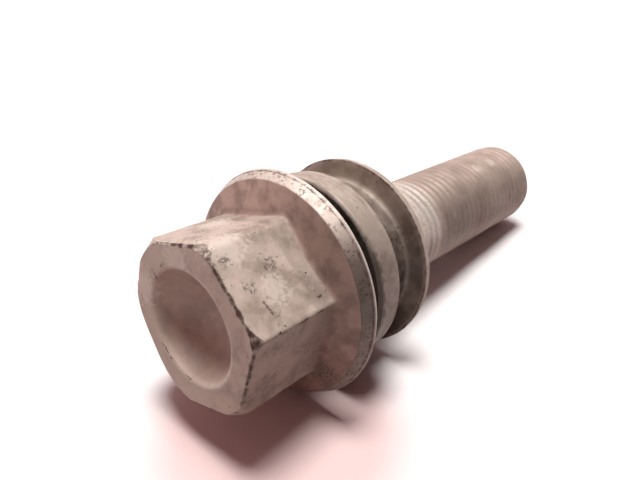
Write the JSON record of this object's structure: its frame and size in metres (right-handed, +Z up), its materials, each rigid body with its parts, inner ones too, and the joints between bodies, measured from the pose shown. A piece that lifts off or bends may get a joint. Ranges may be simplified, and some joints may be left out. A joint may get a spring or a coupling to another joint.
{
  "type": "wheel bolt",
  "caption": "Hexagon-head wheel bolt with a round dished recess, a coned flange and a captive spool-shaped seat collar that turns on the plain shank above a fine thread.",
  "frame": {"origin": "centre of the box's underside, where the lying bolt meets the surface", "axes": "+X from the head towards the thread's tip, +Z up; the bolt's own axis dips by its lie angle towards the tip"},
  "size_m": [0.073, 0.0288, 0.0286],
  "materials": {
    "bolt_steel": "dull grey zinc-flake coating, worn on the hexagon's edges and the thread",
    "collar_steel": "dull grey zinc-flake coating, scuffed at the edges"
  },
  "bodies": {
    "bolt": {"bolt": "bolt_steel"},
    "collar": {"collar": "collar_steel"}
  },
  "joints": [
    {"name": "collar_spin", "type": "hinge", "parent": "bolt", "child": "collar", "pos_m": [-0.01305, 0, 0.01345], "axis": [0.9914, 0, -0.1308], "continuous": true}
  ]
}
